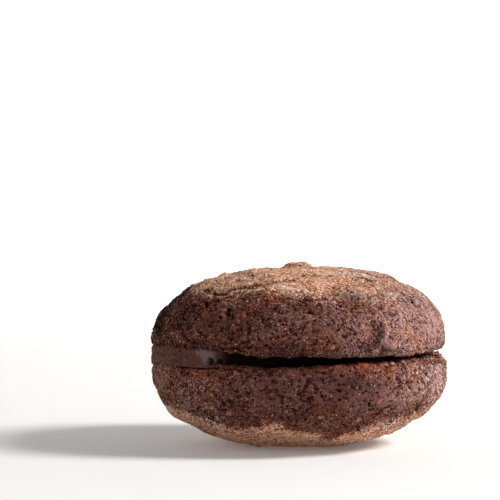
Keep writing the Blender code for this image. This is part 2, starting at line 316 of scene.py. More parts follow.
def crumb_tone(look):
    """How pale the crumb is, grain by grain: 0 in a hollow, 1 on the palest grain.

    Each pair is a pattern from 0 to 1 and its weight; half of each weight is taken off the base.
    """
    # Dust, with the painted sheen of lit flanks, lifts the tone and draws streaks.
    dust = look.painted("dust")
    distance, chances = look.grains(GRAIN_SIZE)
    patterns = [
        (look.lumps(0.34 * MM, 2.0, 0.60), 0.80),
        (look.lumps(0.17 * MM, 1.0), 0.60),
        (chances["Red"], 0.16),
        (look.lumps(1.2 * MM, 3.0), 0.34),
        (look.lumps(5.0 * MM), 0.36),
        (look.calculate("SUBTRACT", 1.0, distance), 0.16),
    ]
    base = 0.50 - 0.5 * sum(weight for _, weight in patterns)
    glints = look.ramp(look.grains(GLINT_SIZE)[1]["Green"], 0.93, 1.0)
    bare = look.ramp(look.weighted(look.painted("bloom"), (dust, 1.1)), 0.10, 0.65, 1.0, 0.10)
    streaked = look.calculate("SUBTRACT", streaks(look), 0.5)
    creased = look.calculate("MULTIPLY_ADD", bare, -0.22, 0.40)
    patterns += [
        # Ridges are painted paler and creases darker, as light and shade.
        (look.painted("ridge"), 0.16),
        (glints, 0.50),
        (streaked, look.times(dust, 1.15)),
        (look.times(veins(look), creased), -1.0),
    ]
    even = look.weighted(base - MIDDLE_TONE, *patterns)
    crisper = look.calculate("MULTIPLY_ADD", look.painted("crisp"), 0.7, 1.0)
    tone = look.calculate("MULTIPLY_ADD", even, crisper, MIDDLE_TONE)
    torn = look.ragged(0.30 * MM, 0.26 * MM)
    for sizes in (FINE_PORES, WIDE_PORES):
        tone = look.weighted(tone, (look.times(pores(look, torn, *sizes), bare), -0.62))
    return look.calculate("MAXIMUM", tone, look.times(dust, 0.32))


# %% The dough's colour
def bloom_cover(look, tone, fine):
    """The share of the bloom at a point, and the tone of its powder, which is finer than crumb."""
    grip = look.weighted(look.painted("bloom"), (fine, 1.5), (look.painted("ridge"), 0.12), (tone, 0.60))
    return look.ramp(grip, 1.38, 1.98), look.weighted(-0.62, (tone, 0.80), (fine, 1.55))


def dough_colour(look, tone, fine, cover, powder):
    """Crumb, then rust, dust and painted sheen, toasted crumb, bloom, blotches of two tints, painted shade
    with smudges, and pits.
    """
    dust = look.painted("dust")
    colour = look.toned(tone, CRUMB_TONES)
    torn = look.ramp(look.lumps(0.5 * MM, 3.0), 0.38, 0.58)
    rusty = look.blend(0.4, look.blend(1.0, colour, TORN_TINT, "MULTIPLY"), RUST)
    colour = look.blend(look.times(look.painted("rust"), torn), colour, rusty)
    # Dust, and the painted sheen of lit flanks, sits on the high grains.
    grip = look.weighted(-0.5, (fine, 1.0), (tone, 1.0))
    colour = look.blend(look.times(dust, look.ramp(grip, 0.15, 0.80, 0.0, 1.8)), colour, DUST_AND_SHEEN)
    heat = look.weighted(look.painted("bloom"), (dust, -0.6))
    colour = look.blend(look.ramp(heat, 0.05, 0.55), colour, TOASTED, "MULTIPLY")
    colour = look.blend(cover, colour, look.toned(powder, BLOOM_TONES))
    # The cool mask also paints a lilac sheen on lit edges.
    patterns = ((look.grains(GRAIN_SIZE)[1]["Blue"], 0.16), (look.painted("cool_and_sheen"), 0.30), (heat, -0.08))
    blotches = look.weighted(look.lumps(3.2 * MM, 3.0), *patterns)
    tint = look.blend(look.ramp(blotches, 0.38, 0.70), WARM_TINT, COOL_TINT)
    plain = look.ramp(look.weighted(cover, (dust, 0.6)), 0.0, 1.0, 1.0, 0.55)
    colour = look.blend(plain, colour, tint, "MULTIPLY")
    # Painted shade and smudges, with pale grains left standing out of them.
    shade_and_smudge_share = look.times(look.painted("dusk"), look.ramp(tone, 0.30, 0.80, 1.1, 0.45))
    colour = look.blend(shade_and_smudge_share, colour, SHADE_AND_SMUDGE)
    return look.blend(look.painted("pit"), colour, PIT_BLACK)


# %% The dough's relief and gloss
def dough_material():
    look = Patterns("baked_dough")
    tone, fine = crumb_tone(look), look.lumps(0.32 * MM, 3.0, 0.72)
    cover, powder = bloom_cover(look, tone, fine)
    look.give("Base Color", dough_colour(look, tone, fine, cover, powder))
    smoother = look.times(look.calculate("SUBTRACT", powder, tone), cover)
    look.emboss(look.weighted(tone, (smoother, 1.0), (look.lumps(0.12 * MM), 0.25)), 1.0, 0.18 * MM)
    look.give("Roughness", look.ramp(tone, 0.2, 0.9, 0.95, 0.6))
    look.give("Specular IOR Level", 0.0)
    return look.material


DOUGH = dough_material()
print("nodes in the dough's material:", len(DOUGH.node_tree.nodes))

# %% [markdown]
# ## A crust from the frame's solid
#
# The frame's biscuits have the right form, but their triangles are over a millimetre wide, and the
# crumb of the real crust is five times finer. The crust could be modelled anew, but then it might
# leave the solid. So each crust is a copy of its solid: its loose triangles are merged, each one
# is divided into 36, and a few rounds of smoothing take the flat facets out. The flat side, which
# the cream covers, keeps its large triangles. In front on the left the photograph shows the seam
# half a millimetre higher than the frame's flat seam, so the rims and the cream are raised there,
# and in front on the right it is narrower, so the rims are brought together a little.

# %% A dense, smooth copy
CUTS = 5                            # on each edge of the frame's triangles
SMOOTHING_ROUNDS = 16
FLAT_SIDE = 0.995                   # a face that points this straight inwards is part of the flat side
FINE_FACE = 0.08 * MM * MM          # the fine faces are smaller than this
SEAM_HEIGHT = 14.0 * MM
SEAM_RISE = 0.60 * MM
SEAM_SQUEEZE = 0.24 * MM


def solid_copy(node):
    """The node's solid as one closed mesh."""
    bm = bmesh.new()
    bm.from_mesh(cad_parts[node].data)
    bmesh.ops.remove_doubles(bm, verts=bm.verts, dist=LEVEL)
    bm.normal_update()
    return bm


def on_rims(place, side, turns, inner, fade):
    """1 on a stretch of the rims in front, fading out round it; side is -1 at the left, 1 at the right."""
    turn = math.degrees(math.atan2(-place.y, side * place.x))       # 0 at that side, 90 in front
    share = smooth_step(turns[0], turns[1], turn) * smooth_step(turns[3], turns[2], turn)
    share *= smooth_step(inner * MM, 20.0 * MM, place.xy.length)
    return share * smooth_step(fade[0] * MM, fade[1] * MM, abs(place.z - SEAM_HEIGHT))


def raise_left_seam(verts):
    """Lifts the rims in front on the left, where the real seam runs higher than the frame's."""
    for vert in verts:
        vert.co.z += SEAM_RISE * on_rims(vert.co, -1.0, (0.0, 25.0, 56.0, 76.0), 15.0, (6.0, 2.0))


def narrow_right_seam(verts, inner_side):
    """Brings the rims closer together in front on the right."""
    for vert in verts:
        share = on_rims(vert.co, 1.0, (24.0, 40.0, 66.0, 84.0), 17.0, (4.0, 1.5))
        vert.co.z += inner_side * SEAM_SQUEEZE * share


def dense_copy(node, inner_side):
    """The solid with fine dome and rim; inner_side is the z of the flat side's normal."""
    bm = solid_copy(node)
    domed = {face for face in bm.faces if face.normal.z * inner_side < FLAT_SIDE}
    edges = [edge for edge in bm.edges if not domed.isdisjoint(edge.link_faces)]
    bmesh.ops.subdivide_edges(bm, edges=edges, cuts=CUTS, use_grid_fill=True)
    free = [vert for vert in bm.verts if vert.co.z >= LEVEL]        # all but the foot
    for _ in range(SMOOTHING_ROUNDS):
        bmesh.ops.smooth_vert(
            bm, verts=free, factor=0.5, use_axis_x=True, use_axis_y=True, use_axis_z=True
        )
    raise_left_seam(bm.verts)
    narrow_right_seam(bm.verts, inner_side)
    bm.normal_update()
    return bm


# %% [markdown]
# ## Working a crust
#
# All relief is planned first and applied once, along each point's own direction. So the crust is
# kept together with what is planned for it: a lift for each point, and the masks. Five tools plan
# it: they press a round pore, swell a bump, draw a line such as a crack or a ridge, soften the
# grain, and paint a patch of a mask. Places that the photograph shows are given as its pixels, and a
# line of sight finds them on the crust; a k-d tree then finds the points near them quickly.

# %% The crust and its tools
MASKS = ("bloom", "dust", "pit", "rust", "dusk", "cool_and_sheen", "ridge", "crisp")
WALL = (0.55, 1.25)                 # a pore's wall begins and ends at these shares of its radius


class Crust:
    """A biscuit's crust while it is worked."""

    def __init__(self, node, inner_side, seen_middle):
        self.node = node
        self.seen_middle = seen_middle
        self.bm = dense_copy(node, inner_side)
        self.layers = {name: self.bm.verts.layers.float.new(name) for name in MASKS}
        self.bm.verts.index_update()
        self.bm.faces.ensure_lookup_table()
        self.verts = list(self.bm.verts)
        self.surface = BVHTree.FromBMesh(self.bm)
        self.near = kdtree.KDTree(len(self.verts))
        for index, vert in enumerate(self.verts):
            self.near.insert(vert.co, index)
        self.near.balance()
        self.lift = [0.0] * len(self.verts)
        self.masks = {name: [0.0] * len(self.verts) for name in MASKS}

    def masks_at(self, index):
        return {name: values[index] for name, values in self.masks.items()}

    def plan(self, planned):
        """Takes each point's lift and masks from a function of its place and normal."""
        for index, vert in enumerate(self.verts):
            self.lift[index], masks = planned(vert.co, vert.normal)
            for name, value in masks.items():
                self.masks[name][index] = value
        print(f"{self.node}: {len(self.verts)} points, {len(self.bm.faces)} faces")

    def seen_at(self, pixel):
        """The point and normal of the crust at a pixel, which moves inwards if it is off the crust."""
        found = self.surface.ray_cast(*line_of_sight(pixel))
        while found[0] is None:
            pixel = [mix(at, middle, 0.02) for at, middle in zip(pixel, self.seen_middle)]
            found = self.surface.ray_cast(*line_of_sight(pixel))
        return found[0], found[1]

    def press(self, place, radius, depth, darkness=1.0):
        """A round pore."""
        pit = self.masks["pit"]
        for _, index, distance in self.near.find_range(place, WALL[1] * radius):
            share = smooth_step(WALL[1], WALL[0], distance / radius)
            self.lift[index] -= depth * share
            pit[index] = max(pit[index], darkness * share)

    def swell(self, place, radius, height):
        """A soft bump, or a hollow where height is negative."""
        for _, index, distance in self.near.find_range(place, radius):
            self.lift[index] += height * smooth_step(1.0, 0.0, distance / radius)

    def draw(self, places, half_width, height, darkness):
        """A line along close places: a crack where height is negative, a ridge otherwise."""
        closest = {}
        for place in places:
            for _, index, distance in self.near.find_range(place, 1.8 * half_width):
                closest[index] = min(distance, closest.get(index, distance))
        pit, ridge = self.masks["pit"], self.masks["ridge"]
        for index, distance in closest.items():
            share = smooth_step(1.8, 0.2, distance / half_width)
            self.lift[index] += height * share
            ridge[index] += math.copysign(1.3 * share, height)
            pit[index] = max(pit[index], darkness * smooth_step(1.1, 0.3, distance / half_width))

    def soften(self, place, radius, amount):
        """A patch where the grain is smoothed down."""
        for _, index, distance in self.near.find_range(place, radius):
            share = amount * smooth_step(1.0, 0.3, distance / radius)
            self.masks["crisp"][index] -= share
            self.lift[index] *= 1.0 - 0.5 * share

    def paint(self, mask, place, radius, amount):
        """A soft patch of one of the masks."""
        values = self.masks[mask]
        for _, index, distance in self.near.find_range(place, radius):
            values[index] = max(values[index], amount * smooth_step(1.0, 0.2, distance / radius))


print("masks of a crust:", ", ".join(MASKS))

# %% Lines on a crust
WAVER = 0.7                         # in pixels
STEP = 0.16 * MM
TURN_RATE = 9.0                     # in degrees, from step to step

noise.seed_set(1)                   # noise vectors would otherwise start from the clock


def drawn_line(crust, pixels):
    """Close places on the crust along a line through pixels, as wavering as a real crack."""
    places = []
    for (x0, y0), (x1, y1) in zip(pixels, pixels[1:]):
        steps = max(1, round(1.5 * math.hypot(x1 - x0, y1 - y0)))
        for step in range(steps + 1):
            x, y = mix(x0, x1, step / steps), mix(y0, y1, step / steps)
            off = noise.noise_vector(Vector((x, y, 7.0)) * 0.23)
            places.append(crust.seen_at((x + WAVER * off.x, y + WAVER * off.y))[0])
    return places


def wandering_line(crust, place, direction, length, chance):
    """The same where the photograph shows nothing: steps over the crust that turn at random."""
    places = []
    for _ in range(round(length / STEP)):
        found, normal, _, _ = crust.surface.find_nearest(place)
        places.append(found)
        direction = (direction - normal * direction.dot(normal)).normalized()
        direction = Matrix.Rotation(math.radians(chance.gauss(0.0, TURN_RATE)), 3, normal) @ direction
        place = found + direction * STEP
    return places


# %% Marks that the photograph shows
def spots(crust, rows):
    """The place, radius and amount of each row: pixel x and y, radius in mm, and amount."""
    for x, y, radius, amount in rows:
        yield crust.seen_at((x, y))[0], radius * MM, amount


def add_marks(crust, marks):
    """Works the pores, swells, lines, calm patches and painted patches of a table of marks."""
    for place, radius, depth in spots(crust, marks["pores"]):
        crust.press(place, radius, depth * MM)
    for place, radius, height in spots(crust, marks["swells"]):
        crust.swell(place, radius, height * MM)
    for half, rise, darkness, *pixels in marks["lines"]:
        crust.draw(drawn_line(crust, pixels), half * MM, rise * MM, darkness)
    for place, radius, amount in spots(crust, marks["calm"]):
        crust.soften(place, radius, amount)
    for mask in MASKS:
        for place, radius, amount in spots(crust, marks.get(mask, ())):
            crust.paint(mask, place, radius, amount)
    print(f"{crust.node}: {sum(len(rows) for rows in marks.values())} marks from the photograph")


# %% [markdown]
# ## The crumb's relief
#
# Baked almond dough has no smooth skin. Broad soft swellings carry grains of half a millimetre that
# are packed like cobbles. Along the seam the rims are torn into lumps and hollows. On top the crust
# has shrunk into fine creases that run round the peak, and on the right flank they run down from it.
# Displacement by a texture could make this while rendering, but an exported mesh would lose it, so
# the same kinds of noise move the points here. A Voronoi pattern makes the cobbles. For the creases
# the noise is read in polar coordinates, which draws its lumps out into arcs or into spokes.

# %% Cobbles and swellings
BROAD_SIZE, BROAD_HEIGHT = 4.2 * MM, 0.26 * MM
SWELLING_SIZE, SWELLING_HEIGHT = 1.7 * MM, 0.17 * MM
COBBLE_SIZE, COBBLE_HEIGHT = 0.60 * MM, 0.20 * MM
FINE_SIZE = 0.40 * MM


def cloudy(scaled_place, layers=2):
    """Noise mostly from -1 to 1, with finer layers on it."""
    return noise.fractal(scaled_place, 1.0, 2.0, layers)


def cobbles(place):
    """1 on the middle of a grain and about -1 in the deepest joint between grains."""
    return 1.0 - 2.4 * noise.voronoi(place / COBBLE_SIZE)[0][0]


def crumb_relief(place, seed):
    """The height of the crumb, and its share that belongs to single grains, from -1 to 1."""
    grain = 0.60 * cobbles(place + seed) + 0.60 * noise.noise((place - seed) / FINE_SIZE)
    height = BROAD_HEIGHT * noise.noise((place + seed) / BROAD_SIZE)
    height += SWELLING_HEIGHT * cloudy((place + seed) / SWELLING_SIZE)
    return height + 0.5 * COBBLE_HEIGHT * grain, grain


# %% A torn rim
RIM_BAND = 1.6 * MM
RIM_LUMP_SIZE, RIM_LUMPS = 1.1 * MM, 0.30 * MM


def rim_relief(place, rim_height, seed):
    """Lumps and hollows along a rim, where the dough has torn."""
    near = smooth_step(RIM_BAND, 0.3 * RIM_BAND, abs(place.z - rim_height))
    return near * RIM_LUMPS * cloudy((place + seed) / RIM_LUMP_SIZE)


# %% Creases and folds round the peak
CREASE_WIDTH, CREASE_HEIGHT = 0.55 * MM, 0.11 * MM
FOLD_WIDTH, FOLD_HEIGHT = 1.9 * MM, 0.14 * MM
SPOKE_LENGTH = 4.0 * MM
SPOKES = 36.0                       # per radian of turn


def arcs(place, centre, width, turns, seed):
    """Long arcs round a centre, from -1 to 1; more turns make them shorter, and spokes in the end."""
    away = place.xy - centre
    radius = away.length + 1.3 * MM * noise.noise(place / (4.5 * MM))
    turn = math.atan2(away.y, away.x)
    polar = Vector((radius / width, turns * math.cos(turn), turns * math.sin(turn)))
    return 1.0 - 3.2 * abs(noise.noise(polar + seed))


# %% [markdown]
# ## The lower biscuit
#
# Its dome points down. Under a band of bare crumb it wears the tan bloom of the paper that it was
# baked on: the bloom's edge stands high at the left and right, and dips right of the middle. The
# outermost flank at the right is powdered too, and this powder also paints the light that falls
# there. The rim is torn and rusty. The marks that the photograph shows, such as pores, cracks,
# bumps, smooth patches, a dark smudge and painted shade in hollows and on the rim, are given by
# pixel. Cracks at the back wander by themselves.

# %% Bloom, dust and sheen, and rust of the lower biscuit
LOWER_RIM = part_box("biscuit_lower")[1][2]
LOWER_SEED = Vector((0.31, 0.12, 0.44))
# Nearer to the middle than this, a flat side is painted dark as shade.
INSIDE_SEAM = (19.8 * MM, 17.2 * MM)    # nearer to the middle a flat side is dark: left, right end
RUST_DEPTH = 0.8 * MM


def side_powder_and_light(place):
    """A thin, patchy bloom on the outermost flank at the right, which also paints the light that falls
    there.
    """
    patches = mix(0.75, 1.25, 0.5 + 0.8 * cloudy(place / (2.4 * MM) - LOWER_SEED))
    return 0.36 * smooth_step(0.80, 0.97, rightwards(place)) * patches


def lower_bloom(place):
    """How much bloom the underside holds: its edge is at about 4 mm and wavers."""
    turn = math.atan2(place.y, place.x)
    edge = 3.8 * MM + 3.0 * MM * abs(math.cos(turn)) ** 2.5
    edge -= 1.5 * MM * math.exp(-((turn - math.radians(-72.0)) / 0.22) ** 2)
    edge += 1.2 * MM * math.exp(-((turn - math.radians(-101.0)) / 0.12) ** 2)
    edge += 1.0 * MM * cloudy(place / (3.4 * MM))
    thinner = 0.30 * smooth_step(6.0 * MM, 16.0 * MM, place.x)
    under = smooth_step(edge + 1.2 * MM, edge - 1.2 * MM, place.z) * (1.0 - thinner)
    return max(under, side_powder_and_light(place))


def lower_dust_and_sheen(place):
    """A thin dust on the left and right flanks, where the biscuit was handled, and with it a painted sheen
    where the light grazes them.
    """
    across = rightwards(place)
    side = 0.62 * smooth_step(0.30, 0.95, across) + 0.28 * smooth_step(-0.35, -0.98, across)
    return side * mix(0.6, 1.3, 0.5 + noise.noise(place / (3.0 * MM)))


def in_the_dark(place):
    """Whether a point of a flat side lies so far inside the seam that hardly any light gets there."""
    return place.xy.length < mix(*INSIDE_SEAM, smooth_step(11.0 * MM, 17.0 * MM, place.x))


def crisp_sides(place, middle, side):
    """How strongly the grain stands out: more on the left and right flanks than in front."""
    return mix(middle, side, smooth_step(0.3, 0.9, abs(rightwards(place))))


def lower_rust(place):
    """Torn crumb just below the flat side's edge, in patches."""
    below = LOWER_RIM - 0.55 * MM - place.z + 0.6 * MM * noise.noise(place / (2.0 * MM))
    patches = smooth_step(-0.45, 0.05, noise.noise(place / (2.6 * MM) + LOWER_SEED))
    return patches * smooth_step(RUST_DEPTH, 0.3 * RUST_DEPTH, below)


# %% Plan the lower crust
def lower_plan(place, normal):
    """The lift and the masks of a point."""
    height, grain = crumb_relief(place, LOWER_SEED)
    bloom, rust, dusk = lower_bloom(place), lower_rust(place), 0.0
    height *= mix(1.1, 0.55, bloom) * (1.0 + 0.5 * smooth_step(8.0 * MM, 16.0 * MM, place.x))
    # Painted shade on the flat side inside the seam, and on the rim's top at the right beside its rust.
    if normal.z > 0.8 and in_the_dark(place):
        dusk = 0.9
    if normal.z > 0.5 and place.x > 13.0 * MM:
        rust, dusk = 0.9, max(dusk, 0.35)
    masks = {"ridge": grain, "crisp": crisp_sides(place, -0.12, 0.85), "bloom": bloom}
    masks |= {"dust": lower_dust_and_sheen(place), "rust": rust, "dusk": dusk}
    return height + rim_relief(place, LOWER_RIM - 0.8 * MM, LOWER_SEED), masks


lower = Crust("biscuit_lower", 1.0, (299.5, 400.0))
lower.plan(lower_plan)

# %% Marks of the lower biscuit
# Rows of spots hold pixel x and y, radius in mm, and the amount: a pore's depth or a swell's height
# in mm, or a strength. Lines hold half width and height in mm, darkness, and their pixels.
LOWER_MARKS = {
    "pores": (
        (207, 375, 0.26, 0.4), (220, 378, 0.3, 0.45), (223.5, 379.5, 0.22, 0.4),
        (230, 403, 0.26, 0.45), (261, 391, 0.2, 0.35), (282, 404, 0.26, 0.4), (281, 419, 0.26, 0.45),
        (164, 374, 0.22, 0.35), (197, 380, 0.18, 0.35), (315, 393, 0.2, 0.35), (309, 399.5, 0.22, 0.4),
        (350, 405.5, 0.2, 0.35), (397, 409.5, 0.18, 0.35), (421, 366, 0.24, 0.35),
        (200, 409, 0.28, 0.45), (222, 410.5, 0.26, 0.4), (213, 419, 0.2, 0.35), (225, 417, 0.22, 0.35),
    ),
    "swells": (
        (358, 386, 1.9, -0.35), (211, 413.5, 2.2, -0.28), (301, 385.5, 0.8, 0.42),
        (174, 413, 5.5, 0.45), (157, 384, 5, -0.28), (345, 372, 2.6, 0.28), (416, 384, 2.2, 0.25),
        (188, 392, 2.6, 0.25), (368, 396, 2.2, 0.25), (410, 418, 4.8, -0.5), (441, 361, 3, -0.55),
        (438, 354, 2.4, -0.4), (391, 385, 1.9, 0.25), (340, 400, 2.6, 0.22), (250, 402, 2.4, 0.22),
        (271, 384, 2, 0.2), (322, 405, 1.2, 0.22), (408, 392, 1.6, -0.25),
    ),
    "lines": (
        (0.17, -0.4, 1, (302.5, 413.8), (307.5, 410.5), (314.5, 406.8)),
        (0.22, -0.3, 1, (178, 366), (200, 367), (214, 367.5)),
        (0.2, -0.22, 0.8, (214, 367.5), (226, 368.5), (240, 369)),
        (0.24, -0.42, 0.9, (372, 416.5), (377, 415)),
        (0.22, -0.42, 0.9, (380.5, 411.5), (385.5, 408.2), (391, 407.5)),
        (0.2, -0.35, 0.7, (380.5, 411.5), (379, 414.5)),
        (0.24, 0.2, 0, (318, 417.5), (325, 415.8), (333, 413)),
        (0.2, -0.3, 0.8, (300, 399), (304, 402), (309.5, 401.5)),
        (0.36, -0.3, 0.35, (197, 409), (203, 411.5)),
        (0.3, -0.3, 0.45, (216, 409), (221, 411.5), (226, 410.5)),
        (0.3, -0.28, 0.4, (209, 419), (215, 418)),
        (0.2, -0.3, 0.6, (308, 380), (306.5, 386), (303, 391.5), (299, 393.5)),
        (0.24, -0.3, 0.5, (392, 393), (397, 386), (404, 380)),
        (0.3, 0.26, 0, (422, 392), (431, 384), (438, 374)),
        (0.3, 0.24, 0, (416, 391), (424, 383), (430, 374)),
        (0.24, -0.24, 0.3, (419, 391.5), (427.5, 383.5), (434, 374)),
    ),
    "calm": (
        (333, 386, 3.6, 0.75), (352, 384, 2.4, 0.7), (318, 402, 3, 0.65), (272, 395, 3.6, 0.6),
        (300, 376, 2.6, 0.45), (346, 404, 2.6, 0.45), (372, 397, 4.2, 0.8), (392, 395, 4.2, 0.8),
        (408, 398, 3, 0.6), (436, 372, 3.4, 0.7),
    ),
    # Painted shade in hollows, by a crack and on the rim's top at the right, and a few smudges.
    "dusk": (
        (353, 384, 2, 0.66), (358, 380, 1.6, 0.6), (344, 392, 2.2, 0.4), (319, 377, 1.3, 0.45),
        (304, 384, 1, 0.35), (209, 412, 2.4, 0.22), (412, 357.5, 1.6, 0.45), (427, 353, 2, 0.5),
        (370, 383, 1.6, 0.3),
    ),
    # Dust, and painted sheen on the lit flank at the right and on the left edge.
    "dust": (
        (438, 374, 5.2, 1), (420, 388, 4.6, 0.75), (410, 374, 3, 0.55), (158, 385, 3, 0.55),
    ),
    # Greyer crumb, and at the far right a painted lilac sheen.
    "cool_and_sheen": (
        (330, 385, 5.5, 1), (300, 397, 5, 0.9), (268, 395, 5, 0.8), (360, 395, 4.5, 0.9),
        (232, 390, 4.5, 0.45), (437, 374, 5, 1),
    ),
    "rust": (
        (181, 369.5, 1.4, 1), (205, 368.5, 1.8, 1), (237, 373, 1.3, 1), (193, 371, 1.5, 0.9),
        (222, 370.5, 1.5, 0.9), (365, 369, 1.8, 0.9), (390, 367, 1.8, 1), (406, 364, 2, 1),
        (420, 359, 2.2, 1), (432, 355, 1.8, 1),
    ),
}

add_marks(lower, LOWER_MARKS)
for index, torn in enumerate(lower.masks["rust"]):
    lower.masks["dust"][index] *= 1.0 - 0.75 * min(torn, 1.0)      # torn crumb holds little dust

# %% [markdown]
# ## The upper biscuit
#
# Its crown carries the thickest bloom, which thins out below a crease in front, painted dark as
# shade, with a lip below it painted pale as lit. Creases run round the small peak. The flank in front
# is bare crumb with holes, the right flank is dusted and painted with the sheen of the light, and low
# on the right a notch is pinched into the rim beside a pale lump. The left end, the hollows and the
# crust just above the seam are painted darker as shade.

# %% Bloom, dust and sheen, painted shade and peak of the upper biscuit
UPPER_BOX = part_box("biscuit_upper")
UPPER_RIM, UPPER_TOP = UPPER_BOX[0][2], UPPER_BOX[1][2]
UPPER_SEED = Vector((0.07, 0.55, 0.21))
PEAK = Vector((-0.1 * MM, 3.4 * MM))
PEAK_WIDTH, PEAK_DEPTH = 2.25 * MM, 1.9 * MM    # half of each


def upper_bloom(place):
    """Thick on the crown; on the right it reaches lower and is thinner."""
    turn = math.atan2(place.y, place.x)
    right = smooth_step(0.2, 1.0, math.cos(turn))
    left = smooth_step(0.5, 1.0, -math.cos(turn))
    edge = UPPER_TOP - 3.3 * MM - 1.2 * MM * right + 0.5 * MM * left
    edge += 0.9 * MM * cloudy(place / (3.2 * MM))
    crown = smooth_step(edge - 3.0 * MM, edge + 0.8 * MM, place.z)
    return crown * mix(1.0, 0.46, smooth_step(2.0 * MM, 12.0 * MM, place.x))


def upper_dust_and_sheen(place):
    """A thin dust over the right flank, which also paints the sheen of the light there."""
    return smooth_step(-0.05, 0.85, rightwards(place) + 0.22 * noise.noise(place / (4.0 * MM)))


def upper_rim_shade(place):
    """Painted shade: the crust darkens towards the rim above the seam."""
    rim = UPPER_RIM + 0.6 * MM * noise.noise(place / (3.0 * MM))
    return smooth_step(rim + 3.6 * MM, rim + 1.0 * MM, place.z)


def peak_lift(place):
    """A crisp cap on the frame's rounded peak: steep on the left, sloping to the right."""
    away = place.xy - PEAK
    reach = math.hypot(away.x / PEAK_WIDTH, away.y / PEAK_DEPTH) + 0.12 * noise.noise(place / (1.1 * MM))
    cap = smooth_step(1.06, 0.84, reach)
    moat = math.exp(-((reach - 1.22) / 0.26) ** 2)
    return (0.08 - 0.12 * away.x / PEAK_WIDTH) * MM * cap - 0.16 * MM * moat


# %% Plan the upper crust
def upper_plan(place, normal):
    """The lift and the masks of a point."""
    height, grain = crumb_relief(place, UPPER_SEED)
    crown = smooth_step(UPPER_TOP - 6.5 * MM, UPPER_TOP - 2.5 * MM, place.z)
    on_peak = smooth_step(3.4 * MM, 2.2 * MM, (place.xy - PEAK).length)
    right = smooth_step(0.0, 14.0 * MM, place.x)
    crease = 0.7 * crown * (1.0 - 0.7 * right) * arcs(place, PEAK, CREASE_WIDTH, 3.4, UPPER_SEED)
    crease += 0.7 * right * arcs(place, PEAK, SPOKE_LENGTH, SPOKES, UPPER_SEED)
    fold = arcs(place, PEAK, FOLD_WIDTH, 2.0, UPPER_SEED) * crown * (1.0 - on_peak)
    height = height * mix(1.0, 0.5, crown) + CREASE_HEIGHT * crease + FOLD_HEIGHT * fold
    height += rim_relief(place, UPPER_RIM + 0.8 * MM, UPPER_SEED)
    dust = upper_dust_and_sheen(place)
    # Painted shade inside the seam and towards the rim, less where dust lies.
    dark = normal.z < -0.8 and in_the_dark(place)
    dusk = 0.9 if dark else 0.50 * upper_rim_shade(place) * (1.0 - 0.7 * dust)
    masks = {"ridge": grain * mix(1.0, 0.6, crown) + 0.7 * crease + 0.4 * fold}
    masks |= {"crisp": crisp_sides(place, 0.00, 0.60) * (1.0 - 0.7 * crown), "bloom": upper_bloom(place)}
    return height + peak_lift(place), masks | {"dust": 0.67 * dust, "dusk": dusk}


upper = Crust("biscuit_upper", -1.0, (299.5, 315.0))
upper.plan(upper_plan)

